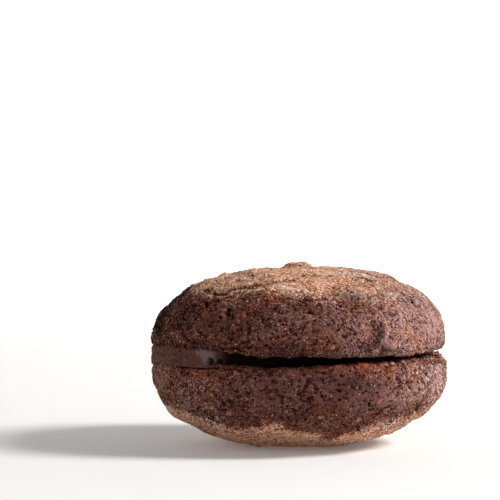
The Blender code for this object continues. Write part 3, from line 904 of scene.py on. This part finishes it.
# %% Marks of the upper biscuit
UPPER_MARKS = {
    "pores": (
        (205.6, 302.5, 0.36, 0.8), (206, 305.5, 0.32, 0.7), (227.5, 313.8, 0.36, 0.7),
        (232.5, 310, 0.22, 0.4), (221.8, 328.6, 0.22, 0.45), (221.9, 331, 0.18, 0.35),
        (210, 317, 0.18, 0.35), (200.5, 335.5, 0.2, 0.4), (205.5, 337, 0.22, 0.4),
        (253.5, 311, 0.2, 0.35), (261, 313.5, 0.2, 0.35), (279, 312, 0.2, 0.35),
        (285.5, 331.5, 0.2, 0.35), (276, 330, 0.18, 0.35), (182, 333, 0.26, 0.4),
        (367, 300.5, 0.22, 0.35), (356, 334, 0.24, 0.4), (407.5, 341, 0.22, 0.35),
        (214.5, 294.5, 0.2, 0.35), (232, 290.5, 0.22, 0.4), (221, 295.5, 0.2, 0.35),
    ),
    "swells": (
        (191, 289.5, 3.4, 0.42), (421, 304, 4.4, 0.55), (222, 275, 1.6, 0.4),
        (390.5, 345.5, 1.35, 0.62), (387, 346.5, 0.55, 0.26), (393.5, 346, 0.6, 0.24),
        (375.5, 337.5, 1.6, -0.3), (360, 346.5, 1.3, -0.3), (308, 322, 2.4, 0.24),
        (333, 292, 2.2, -0.25), (300, 345, 1.6, 0.22), (345, 318, 2, 0.22), (228, 335, 2.2, 0.2),
        (262, 322, 1.8, -0.18), (342, 271, 4, -0.38), (387, 277, 4, -0.55), (437, 312, 2.4, -0.45),
    ),
    "lines": (
        (0.2, -0.4, 0.7, (213, 293), (221.8, 293.7), (226, 291.5), (232.8, 289.3)),
        (0.3, -0.32, 0.42, (232.8, 289.3), (239, 288), (250, 287), (260, 284.8), (269, 284)),
        (0.34, 0.36, 0, (207, 296.8), (215.7, 297.5), (222, 297.2)),
        (0.38, 0.32, 0, (232.3, 292.6), (241, 291.5), (251, 293), (262, 291.5)),
        (0.34, 0.26, 0, (271, 289.5), (277.6, 288), (288.6, 290.4), (305, 292)),
        (0.45, 0.3, 0, (241, 285.4), (255, 283.5), (268, 281.5)),
        (0.42, -0.4, 0.6, (248, 277.8), (262, 277.2), (276, 278), (287.5, 278.2)),
        (0.42, -0.4, 0.6, (287.5, 278.2), (305, 275.4), (312, 275.5)),
        (0.4, -0.3, 0.45, (244, 275.5), (254, 274.6), (264, 273.6)),
        (0.45, 0.28, 0, (244.4, 273.6), (254, 272.6), (264.3, 271.6)),
        (0.45, -0.3, 0.4, (262, 281), (276, 281.8), (292, 281.2)),
        (0.3, 0.24, 0, (309, 304.5), (320, 303), (335, 303.5)),
        (0.36, 0.24, 0, (354, 273.5), (364, 276), (373, 278.5)),
        (0.26, -0.24, 0.3, (351, 275.5), (360, 278), (371, 281)),
        (0.26, -0.22, 0.35, (360, 272.5), (369, 275), (377, 278)),
        (0.26, -0.4, 1, (205.6, 301), (205.8, 306)),
        (0.24, -0.4, 0.9, (226, 313), (229.5, 311), (230, 308)),
        (0.26, 0.22, 0, (224, 310), (222, 314), (224.5, 317.5)),
        (0.5, -0.34, 0.05, (377, 326), (380, 331), (380, 336), (377, 341.5)),
        (0.4, 0.3, 0, (384.5, 324), (386, 330), (385.5, 336), (383, 341)),
        (0.28, -0.28, 0.4, (368, 345), (380, 347.5), (392, 350.5)),
        (0.22, -0.3, 0.8, (214, 347.5), (222, 349.5), (231, 350.5)),
        (0.22, -0.3, 0.8, (232, 348), (240, 351), (246, 352)),
    ),
    "calm": (
        (228, 322, 3, 0.3), (330, 288, 2.2, 0.4), (420, 312, 3, 0.4), (433, 327, 4, 0.6),
        (212, 318, 3.6, 0.45), (190, 322, 3, 0.4), (325, 335, 2.6, 0.35), (268, 340, 2.4, 0.3),
    ),
    # Painted shade: the dark left end, hollows and the crust just above the seam.
    "dusk": (
        (160, 318, 5.4, 1.02), (158, 330, 3.6, 0.95), (164, 309, 4.6, 1), (170, 303, 4.2, 0.8),
        (179, 298, 3.2, 0.5), (168, 333, 3.2, 0.5), (184, 318, 6.5, 0.35), (333, 292, 1.9, 0.4),
        (376, 338, 1.6, 0.6), (360, 347, 1.8, 0.5), (318, 311, 2, 0.25), (338, 348, 2.2, 0.4),
        (372, 350, 2, 0.45), (256, 286, 1.2, 0.15),
    ),
    # Dust, and painted light on the pale lump, the ridge by the notch and the far right.
    "dust": (
        (390.5, 345.5, 1.5, 1.2), (300, 320, 2.2, 0.3), (386, 331, 1.1, 0.7), (435, 318, 5, 0.85),
    ),
    # A painted lilac sheen on the lit far right.
    "cool_and_sheen": (
        (430, 318, 5.5, 1), (436, 336, 4, 1), (412, 300, 4, 0.7),
    ),
}

add_marks(upper, UPPER_MARKS)

# %% [markdown]
# ## Pores and cracks all round
#
# Small pores open everywhere in the bare crumb; bloom and dust have closed most of theirs. The
# material draws still finer ones. Their places are random, but the random numbers start from a
# fixed seed, so every run gives the same biscuit. At the right and low on the left the lower
# biscuit is torn into coarse crumb with deep pores, so a few spots there get more of both. The sides
# that the photograph does not show get wandering cracks of the same kinds.

# %% Scatter the pores
PORES_PER_BISCUIT = 1500
BLOOM_SKIPS = 0.9                   # the share of pores that thick bloom has closed
DUST_SKIPS = 1.2
NEAR_FLOOR = 0.6 * MM


def random_place(crust, chance):
    """A random place on the fine faces of a crust, above the foot: place, normal, a corner's index."""
    while True:
        face = crust.bm.faces[chance.randrange(len(crust.bm.faces))]
        weights = [chance.random() + 0.001 for _ in face.verts]
        total = sum(weights)
        place = sum((vert.co * (weight / total) for vert, weight in zip(face.verts, weights)), Vector())
        if len(face.verts) <= 4 and place.z > NEAR_FLOOR and face.calc_area() < FINE_FACE:
            return place, face.normal.copy(), face.verts[0].index


def scatter_pores(crust, seed):
    chance = random.Random(seed)
    made = 0
    while made < PORES_PER_BISCUIT:
        place, _, index = random_place(crust, chance)
        closed = BLOOM_SKIPS * crust.masks["bloom"][index] + DUST_SKIPS * crust.masks["dust"][index]
        if chance.random() < closed:
            continue
        radius = mix(0.11, 0.24, chance.random() ** 2) * MM
        if chance.random() < 0.06:
            radius *= 1.6
        crust.press(place, radius, 1.7 * radius, mix(0.65, 1.0, chance.random()))
        made += 1


scatter_pores(lower, 11)
scatter_pores(upper, 12)
print("pores:", 2 * PORES_PER_BISCUIT)

# %% Torn spots
# Coarse crumb with deep pores: pixel, radius in mm, number of pores and of lumps.
TORN_SPOTS = (
    ((398, 371), 2.4, 12, 40), ((415, 374), 2.8, 16, 70), ((431, 366), 2.6, 12, 55),
    ((207, 412), 2.4, 10, 30),
)


def points_around(crust, pixel, radius, count, chance):
    """Random points of the crust within a radius in mm of the place at a pixel, as their indices."""
    near = crust.near.find_range(crust.seen_at(pixel)[0], radius * MM)
    return [chance.choice(near)[1] for _ in range(count)]


def press_spots(crust, seed):
    chance = random.Random(seed)
    for pixel, radius, holes, _ in TORN_SPOTS:
        for index in points_around(crust, pixel, radius, holes, chance):
            size = mix(0.14, 0.26, chance.random()) * MM
            crust.press(crust.verts[index].co, size, 1.6 * size)


press_spots(lower, 13)

# %% Cracks where the photograph shows nothing
CRACKS_BEHIND = 9


def scatter_cracks(crust, seed, middle_height):
    """Cracks on the back half and the sides; each runs roughly round the biscuit."""
    chance = random.Random(seed)
    for _ in range(CRACKS_BEHIND):
        turn = math.radians(chance.uniform(-5.0, 185.0))
        height = middle_height + chance.uniform(-4.0, 4.0) * MM
        start = Vector((19.0 * MM * math.cos(turn), 18.5 * MM * math.sin(turn), height))
        round_it = Vector((-math.sin(turn), math.cos(turn), chance.uniform(-0.5, 0.5)))
        line = wandering_line(crust, start, round_it, chance.uniform(1.5, 5.5) * MM, chance)
        crust.draw(line, chance.uniform(0.16, 0.28) * MM, -chance.uniform(0.22, 0.42) * MM, 0.8)


scatter_cracks(lower, 21, 7.0 * MM)
scatter_cracks(upper, 22, 20.5 * MM)

# %% [markdown]
# ## From plan to mesh
#
# Now the lifts are applied. The foot stays level, so that the biscuit still stands where its solid
# does, and the masks go on the points as attributes.

# %% Apply the plan
def raise_relief(crust):
    for vert, lift in zip(crust.verts, crust.lift):
        if vert.co.z > LEVEL:
            vert.co += vert.normal * lift
            vert.co.z = max(vert.co.z, 0.0)
    crust.bm.normal_update()
    for name, layer in crust.layers.items():
        for vert, value in zip(crust.verts, crust.masks[name]):
            vert[layer] = value
    crust.surface = BVHTree.FromBMesh(crust.bm)
    print(f"{crust.node}: lifts from {min(crust.lift) / MM:.2f} to {max(crust.lift) / MM:.2f} mm")


raise_relief(lower)
raise_relief(upper)

# %% [markdown]
# ## The cream
#
# Chocolate cream fills the seam, and at the left it has been squeezed out level with the rims. It
# has taken up crumbs there, but is smoother than the crust, most of all in one satin patch round
# two burst air holes, whose grey sheen is a painted reflection. Where it lies back in the seam it is
# painted dark as shade. The solid leaves a quarter of a millimetre to each biscuit, which real cream
# does not, so the copy is stretched away from the middle of the seam until it meets both.

# %% The cream's material
CREAM_TONES = (
    (0.00, (0.010, 0.002, 0.0012)), (0.30, (0.052, 0.019, 0.012)), (0.55, (0.100, 0.043, 0.031)),
    (1.00, (0.300, 0.180, 0.145)),
)
# The grey of the satin patch: a painted reflection.
SMEAR_REFLECTION = (0.146, 0.099, 0.095, 1.0)
# Painted shade where the cream lies back in the seam.
SEAM_SHADE = (0.003, 0.001, 0.001, 1.0)


def cream_material():
    look = Patterns("chocolate_cream")
    smear, depth, coarse = look.painted("smear"), look.painted("depth"), crumb_tone(look)
    smoothed = look.calculate("SUBTRACT", 0.54, coarse)
    tone = look.weighted(coarse, (smoothed, look.ramp(smear, 0.0, 0.6, 0.40, 0.97)))
    # The satin patch gets the grey of a painted reflection.
    colour = look.blend(look.times(smear, 0.85), look.toned(tone, CREAM_TONES), SMEAR_REFLECTION)
    # Painted shade where the cream lies back in the seam.
    colour = look.blend(depth, colour, SEAM_SHADE)
    look.give("Base Color", look.blend(look.painted("pit"), colour, PIT_BLACK))
    rough = look.ramp(tone, 0.2, 0.8, 0.85, 0.60)
    look.give("Roughness", look.weighted(rough, (smear, -0.25), (depth, 0.4)))
    look.give("Specular IOR Level", 0.08)
    look.emboss(tone, 0.8, 0.16 * MM)
    return look.material


# %% The middle of the seam
def flat_side(node, inner_side):
    """The plane of a biscuit's flat side, as a point and a normal."""
    bm = solid_copy(node)
    flat = [face for face in bm.faces if face.normal.z * inner_side > FLAT_SIDE]
    area = sum(face.calc_area() for face in flat)
    point = sum((face.calc_center_median() * face.calc_area() for face in flat), Vector()) / area
    normal = sum((face.normal * face.calc_area() for face in flat), Vector()).normalized()
    bm.free()
    return point, normal


SEAM_PLANES = (flat_side("biscuit_lower", 1.0), flat_side("biscuit_upper", -1.0))


def seam_at(place):
    """The height half way between the two flat sides there, and half of the gap."""
    below, above = [
        point.z - ((place.x - point.x) * normal.x + (place.y - point.y) * normal.y) / normal.z
        for point, normal in SEAM_PLANES
    ]
    return 0.5 * (below + above), 0.5 * (above - below)


middle, half_gap = seam_at(Vector())
print(f"in the centre the seam is {middle / MM:.2f} mm high and {2.0 * half_gap / MM:.2f} mm wide")

# %% Stretch the cream
CLEARANCE = 0.25 * MM               # that the frame's cream leaves to each biscuit
RIM_STRETCH = 1.25                  # more stretch where it is squeezed out between the rounded rims
OUTER_CREAM = 21.3 * MM
DRAWN_BACK = (-13.4 * MM, -10.6 * MM)   # along X, where the front of the cream draws back


def stretch_to_biscuits(bm, layers):
    """Stretches the cream up and down until it meets both biscuits, and roughens its edge."""
    for vert in bm.verts:
        place, normal = vert.co.copy(), vert.normal.copy()
        radius = place.xy.length
        middle, half_gap = seam_at(place)
        outer = smooth_step(OUTER_CREAM - 1.0 * MM, OUTER_CREAM + 0.6 * MM, radius)
        back = smooth_step(*DRAWN_BACK, place.x) if place.y < 0.0 else 0.0
        deep = smooth_step(OUTER_CREAM + 0.7 * MM, OUTER_CREAM - 0.5 * MM, radius)
        # How far back in the seam a point lies, for the painted shade.
        vert[layers["depth"]] = max(deep, back)
        vert.co.xy *= 1.0 - 0.07 * back * outer
        stretch = half_gap / (half_gap - CLEARANCE) * mix(1.0, RIM_STRETCH, outer)
        vert.co.z = middle + (place.z - middle) * stretch
        wave = 0.20 * MM * cloudy(place / (1.3 * MM), 3) * (1.0 - abs(normal.z))
        vert.co += normal * wave
    raise_left_seam(bm.verts)
    bm.normal_update()


# %% Air holes and smears in the cream
AIR_HOLES = ((209.8, 361.5, 0.54, 0.8), (220.5, 362.3, 0.42, 0.8))      # the last is the depth in mm
SMEARS = ((198, 350.5, 0.9), (204, 353.5, 1.1), (210, 356, 1.2), (206, 359.5, 1), (212, 359.5, 0.9))


def press_air_holes(bm, layers):
    """Burst air holes, and the patch that was smoothed, at their pixels."""
    surface = BVHTree.FromBMesh(bm)
    holes, smears = [
        [(surface.ray_cast(*line_of_sight(row))[0], *(MM * size for size in row[2:])) for row in rows]
        for rows in (AIR_HOLES, SMEARS)
    ]
    pit, smear = layers["pit"], layers["smear"]
    for vert in bm.verts:
        place = vert.co.copy()
        outward = Vector((vert.normal.x, vert.normal.y, 0.0))
        for hole, size, depth in holes:
            share = smooth_step(1.25, 0.85, (place - hole).length / size)
            vert.co -= outward * depth * share
            vert[pit] = max(vert[pit], share)
        for centre, size in smears:
            vert[smear] = max(vert[smear], smooth_step(1.0, 0.4, (place - centre).length / size))
    bm.normal_update()


# %% The cream's mesh
CREAM_CUTS = 5


def cream_shape():
    bm = solid_copy("cream_filling")
    layers = {name: bm.verts.layers.float.new(name) for name in ("pit", "smear", "depth")}
    outside = [
        edge for edge in bm.edges
        if any(vert.co.xy.length > OUTER_CREAM - 0.5 * MM for vert in edge.verts)
    ]
    bmesh.ops.subdivide_edges(bm, edges=outside, cuts=CREAM_CUTS, use_grid_fill=True)
    bm.normal_update()
    stretch_to_biscuits(bm, layers)
    press_air_holes(bm, layers)
    return bm


cream = cream_shape()
print("faces of the cream:", len(cream.faces))

# %% [markdown]
# ## Crumbs, almond and sugar
#
# Bits sit on the crust: crumbs of the same dough, chopped almond that has turned orange or red in
# the oven, and sugar grains that glint. Crumbs are larger along the torn rims and on the torn spots.
# Particles or instances would scatter them, but an export drops those, so each kind is one mesh of
# many small closed shapes. A crumb is an icosphere with its points pushed about, and a sugar grain
# is a small block. A crumb takes over the masks of the crust under it, so the dough's own material
# fits it in. Almond and sugar have a tone for each bit.
#
# An operator goes through its whole mesh each time, so thousands of calls on one growing mesh
# would take minutes. The bits are made in small batches, which are then poured together.

# %% A mesh that collects small shapes
BATCH = 120


class Bits:
    """Many small closed shapes in one mesh, with values on their points."""

    def __init__(self, seed, layers):
        self.layer_names = layers
        self.whole = self.empty_mesh()
        self.batch = self.empty_mesh()
        self.chance = random.Random(seed)
        self.count = 0

    def empty_mesh(self):
        bm = bmesh.new()
        for name in self.layer_names:
            bm.verts.layers.float.new(name)
        return bm

    def pour(self):
        """Moves the batch into the whole."""
        carrier = bpy.data.meshes.new("carrier")
        self.batch.to_mesh(carrier)
        self.whole.from_mesh(carrier)
        bpy.data.meshes.remove(carrier)
        self.batch.free()
        self.batch = self.empty_mesh()

    def turned(self, place, normal):
        """A matrix that lays a shape on a surface there, spun at random."""
        spin = Matrix.Rotation(self.chance.uniform(0.0, 2.0 * math.pi), 4, "Z")
        return Matrix.Translation(place) @ normal.to_track_quat("Z", "Y").to_matrix().to_4x4() @ spin

    def keep(self, verts, values):
        """Stores the bit's values on its points."""
        for name, value in values.items():
            layer = self.batch.verts.layers.float[name]
            for vert in verts:
                vert[layer] = value
        self.count += 1
        if self.count % BATCH == 0:
            self.pour()

    def add_lump(self, place, normal, size, values, sunk, height=0.7, rounds=1):
        """A rough lump of that width, sunk by a share of its height."""
        wide = size * self.chance.uniform(0.8, 1.25)
        squash = Matrix.Diagonal((wide, size * self.chance.uniform(0.6, 1.0), size * height, 1.0))
        middle = place + normal * (0.5 - sunk) * size * height
        where = self.turned(middle, normal) @ squash
        made = bmesh.ops.create_icosphere(self.batch, subdivisions=rounds, radius=0.5, matrix=where)["verts"]
        for vert in made:
            vert.co += (vert.co - middle) * self.chance.uniform(-0.25, 0.25)
        self.keep(made, values)

    def add_block(self, place, normal, size, values):
        """A small block that stands on the surface at any angle."""
        tilt = Matrix.Rotation(self.chance.uniform(0.3, 1.2), 4, "X")
        sides = [size, size * self.chance.uniform(0.6, 1.0), size * self.chance.uniform(0.5, 0.9), 1.0]
        where = self.turned(place + normal * 0.2 * size, normal) @ tilt @ Matrix.Diagonal(sides)
        self.keep(bmesh.ops.create_cube(self.batch, size=1.0, matrix=where)["verts"], values)

    def size_between(self, smallest, largest, power=2):
        """A random size in mm; a higher power makes large ones rarer."""
        return mix(smallest, largest, self.chance.random() ** power) * MM

    def finished(self):
        self.pour()
        self.batch.free()
        return self.whole


# %% Crumbs of dough on both biscuits
CRUMBS_PER_BISCUIT = 3200
CRUMBS_ON_RIM = 260                 # larger ones, on each biscuit
CRUMBS_ON_CREAM = 420
OPEN_PIT = 0.3                      # nothing lies on a pore that is darker than this


def scatter_crumbs(crust, bits):
    """Most of the crumbs are tiny; fewer lie where thick bloom has settled."""
    made = 0
    while made < CRUMBS_PER_BISCUIT:
        place, normal, index = random_place(crust, bits.chance)
        under = crust.masks_at(index)
        if bits.chance.random() < 0.6 * under["bloom"] or under["pit"] > OPEN_PIT:
            continue
        size = bits.size_between(0.16, 0.42, 3)
        under["ridge"] = bits.chance.uniform(-0.4, 1.0)
        bits.add_lump(place, normal, size, under, 0.45)
        made += 1


def scatter_rim_crumbs(crust, bits, rim_height):
    """Larger crumbs that hang on the torn rim."""
    made = 0
    while made < CRUMBS_ON_RIM:
        place, normal, index = random_place(crust, bits.chance)
        if abs(place.z - rim_height) > 1.3 * MM:
            continue
        under = crust.masks_at(index) | {"ridge": bits.chance.uniform(-0.8, 1.0)}
        bits.add_lump(place, normal, bits.size_between(0.30, 0.75), under, 0.60)
        made += 1


def pile_spots(crust, bits):
    """Lumps on the torn spots."""
    for pixel, radius, _, count in TORN_SPOTS:
        for index in points_around(crust, pixel, radius, count, bits.chance):
            vert = crust.verts[index]
            under = crust.masks_at(index) | {"ridge": bits.chance.uniform(0.0, 1.6), "pit": 0.0}
            under["dust"] = max(under["dust"], bits.chance.uniform(0.2, 0.9))
            bits.add_lump(vert.co.copy(), vert.normal.copy(), bits.size_between(0.32, 0.85), under, 0.60)


def scatter_crumbs_on_cream(bits):
    """Crumbs that stick to the cream where it is squeezed out."""
    outside = [face for face in cream.faces if face.calc_center_median().xy.length > OUTER_CREAM + 0.5 * MM]
    for _ in range(CRUMBS_ON_CREAM):
        face = bits.chance.choice(outside)
        values = dict.fromkeys(MASKS, 0.0) | {"ridge": bits.chance.uniform(-1.2, 0.8)}
        bits.add_lump(face.calc_center_median(), face.normal, bits.size_between(0.16, 0.45), values, 0.55)


crumbs = Bits(31, MASKS)
for crust, rim_height in ((lower, LOWER_RIM - 1.0 * MM), (upper, UPPER_RIM + 1.0 * MM)):
    scatter_crumbs(crust, crumbs)
    scatter_rim_crumbs(crust, crumbs, rim_height)
pile_spots(lower, crumbs)
scatter_crumbs_on_cream(crumbs)
print("crumbs:", crumbs.count)

# %% Materials of almond and sugar
ALMOND_RED = (0.230, 0.042, 0.030, 1.0)
ALMOND_PALE = (0.400, 0.180, 0.110, 1.0)
SUGAR_WARM = (0.400, 0.220, 0.150, 1.0)
SUGAR_PALE = (0.800, 0.700, 0.620, 1.0)


def bit_material(name, dark, pale, roughness, specular):
    """Two colours by the bit's own tone, with a fine grain over them."""
    look = Patterns(name)
    speckle = look.ramp(look.lumps(0.14 * MM), 0.35, 0.65, 0.0, 0.6)
    look.give("Base Color", look.blend(speckle, look.blend(look.painted("tone"), dark, pale), dark))
    look.emboss(look.lumps(0.12 * MM), 0.5, 0.06 * MM)
    look.give("Roughness", roughness)
    look.give("Specular IOR Level", specular)
    return look.material


ALMOND = bit_material("baked_almond", ALMOND_RED, ALMOND_PALE, 0.55, 0.35)
SUGAR = bit_material("sugar_grain", SUGAR_WARM, SUGAR_PALE, 0.25, 0.6)

# %% Almond bits
# Those that the photograph shows: pixel, width in mm, and tone from red to pale.
ALMOND_SEEN_UPPER = (
    ((243.7, 315.5), 0.9, 0), ((332.5, 347.5), 0.85, 0.55), ((380, 347), 0.72, 0.6),
    ((184, 342), 0.55, 0.35), ((222, 309.5), 0.5, 0.6), ((275, 315), 0.65, 0.55),
    ((256, 334), 0.6, 0.45), ((222, 297.5), 0.5, 0.7),
)
ALMOND_SEEN_LOWER = (
    ((236.7, 373.6), 0.95, 0.75), ((231, 377), 0.6, 0.55), ((230.3, 411.5), 1, 0.5),
    ((411, 370.4), 0.55, 0.65), ((408.6, 375.5), 0.75, 0.75), ((379.5, 401.5), 0.85, 0.65),
    ((358.5, 419.5), 0.95, 0.6), ((421, 365), 0.6, 0.55), ((388, 388), 0.5, 0.65),
    ((376, 376), 0.6, 0.6),
)
ALMOND_MORE = 16                    # on each biscuit, anywhere
FLAT_BIT = {"sunk": 0.62, "height": 0.55, "rounds": 2}


def add_almond(crust, bits, seen):
    for pixel, size, tone in seen:
        bits.add_lump(*crust.seen_at(pixel), size * MM, {"tone": tone}, **FLAT_BIT)
    for _ in range(ALMOND_MORE):
        place, normal, _ = random_place(crust, bits.chance)
        size = bits.size_between(0.35, 0.80)
        bits.add_lump(place, normal, size, {"tone": mix(0.35, 0.85, bits.chance.random())}, **FLAT_BIT)


almonds = Bits(32, ("tone",))
add_almond(upper, almonds, ALMOND_SEEN_UPPER)
add_almond(lower, almonds, ALMOND_SEEN_LOWER)
print("almond bits:", almonds.count)

# %% Sugar grains
GRAINS_PER_BISCUIT = 900
# The brightest of those that the photograph shows, and a cluster of them.
SUGAR_SEEN_UPPER = (
    (190, 344), (161.5, 348), (218, 319.5), (201, 304.5), (305.5, 314.5), (300.5, 319), (310, 316),
    (302.5, 316.5), (308, 320), (313.5, 319), (333, 333.5), (176, 323),
)
SUGAR_SEEN_LOWER = (
    (244.7, 361.3), (225.5, 362.5), (220, 366), (232, 398.5), (229.5, 378), (197, 389.5), (350.5, 376),
    (349, 387), (354, 384), (357, 388), (304.5, 410.5), (280, 404), (286, 380), (303.5, 366),
)


def add_sugar(crust, bits, seen):
    for pixel in seen:
        place, normal = crust.seen_at(pixel)
        bits.add_block(place, normal, bits.chance.uniform(0.09, 0.15) * MM, {"tone": 0.9})
    for _ in range(GRAINS_PER_BISCUIT):
        place, normal, index = random_place(crust, bits.chance)
        if crust.masks["pit"][index] < OPEN_PIT:
            size = bits.size_between(0.06, 0.13)
            bits.add_block(place, normal, size, {"tone": bits.chance.random() ** 1.5})


sugar = Bits(33, ("tone",))
add_sugar(upper, sugar, SUGAR_SEEN_UPPER)
add_sugar(lower, sugar, SUGAR_SEEN_LOWER)
print("sugar grains:", sugar.count)

# %% [markdown]
# ## Pieces of the frame
#
# Each finished mesh becomes an object at the origin, with its place in its mesh. It rides on the
# only body of the frame. A crust also takes the place of its solid, which is then hidden, and so
# does the cream.

# %% Make the objects
def new_object(name, bm, material):
    mesh = bpy.data.meshes.new(name)
    bm.to_mesh(mesh)
    bm.free()
    mesh.shade_smooth()
    mesh.materials.append(material)
    made = bpy.data.objects.new(name, mesh)
    bpy.context.scene.collection.objects.link(made)
    print(f"{name}: {len(mesh.polygons)} faces")
    return made


def add_piece(name, bm, material):
    made = new_object(name, bm, material)
    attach(made, "root")
    return made


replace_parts(add_piece("crust_lower", lower.bm, DOUGH), "biscuit_lower")
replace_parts(add_piece("crust_upper", upper.bm, DOUGH), "biscuit_upper")
add_piece("crumbs", crumbs.finished(), DOUGH)
add_piece("almond_bits", almonds.finished(), ALMOND)
add_piece("sugar_grains", sugar.finished(), SUGAR)
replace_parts(add_piece("cream_layer", cream, cream_material()), "cream_filling")

# %% [markdown]
# ## Floor and light
#
# The stage is a plain pale bowl, a wide floor that turns up into a wall all round, so that every
# side of the biscuit has the same floor. It is one profile spun about the middle. Its paper glows a
# little, more behind the biscuit, so that the backdrop stays pale. A soft key light stands high at
# the right, a little in front. It rakes across the crust, lights the crown and the right flank and
# leaves the left flank dark, as in the photograph. A weak, even sky and the pale floor fill the
# shadows.

# %% The bowl
FLOOR_RADIUS = 0.55
WALL_TURN = 0.16                    # the radius of the bend between floor and wall
WALL_HEIGHT = 0.5
BEND_STEPS = 12
FLOOR_COLOUR = (0.86, 0.855, 0.85, 1.0)


def paper_material():
    """Pale paper that glows a little, and more at the back."""
    look = Nodes("pale_paper")
    backwards = look.add("ShaderNodeSeparateXYZ", {"Vector": look.place}).outputs["Y"]
    look.give("Base Color", FLOOR_COLOUR)
    look.give("Roughness", 0.9)
    look.give("Emission Color", FLOOR_COLOUR)
    look.give("Emission Strength", look.ramp(backwards, 0.0, 0.6, 0.10, 0.60))
    return look.material


def bowl():
    profile = [(0.0, 0.0), (0.08, 0.0), (FLOOR_RADIUS, 0.0)]
    for step in range(1, BEND_STEPS + 1):
        turn = 0.5 * math.pi * step / BEND_STEPS
        profile.append((FLOOR_RADIUS + WALL_TURN * math.sin(turn), WALL_TURN * (1.0 - math.cos(turn))))
    profile.append((FLOOR_RADIUS + WALL_TURN, WALL_HEIGHT))
    bm = bmesh.new()
    points = [bm.verts.new((radius, 0.0, height)) for radius, height in profile]
    edges = [bm.edges.new(pair) for pair in zip(points, points[1:])]
    round_z = {"cent": (0, 0, 0), "axis": (0, 0, 1), "angle": 2.0 * math.pi}
    bmesh.ops.spin(bm, geom=points + edges, steps=96, use_merge=True, **round_z)
    bmesh.ops.remove_doubles(bm, verts=bm.verts, dist=0.01 * MM)
    bmesh.ops.recalc_face_normals(bm, faces=bm.faces)
    return bm


new_object("bowl", bowl(), paper_material())

# %% The light
KEY_DIRECTION = Vector((0.82, -0.10, 0.60))
KEY_DISTANCE = 0.60
KEY_SIZE = 0.20
KEY_WATTS = 4.4
KEY_COLOUR = (1.0, 0.975, 0.95)
SKY_STRENGTH = 0.12

key_data = bpy.data.lights.new("key", "AREA")
key_data.shape = "DISK"
key_data.size = KEY_SIZE
key_data.energy = KEY_WATTS
key_data.color = KEY_COLOUR
key = bpy.data.objects.new("key", key_data)
key.location = AIM + KEY_DIRECTION.normalized() * KEY_DISTANCE
key.rotation_euler = (-KEY_DIRECTION).to_track_quat("-Z", "Y").to_euler()
bpy.context.scene.collection.objects.link(key)

world = bpy.data.worlds.new("studio")
world.use_nodes = True
sky = world.node_tree.nodes["Background"].inputs
sky["Color"].default_value = (1.0, 1.0, 1.0, 1.0)
sky["Strength"].default_value = SKY_STRENGTH
bpy.context.scene.world = world
bpy.context.scene.view_settings.view_transform = "Standard"
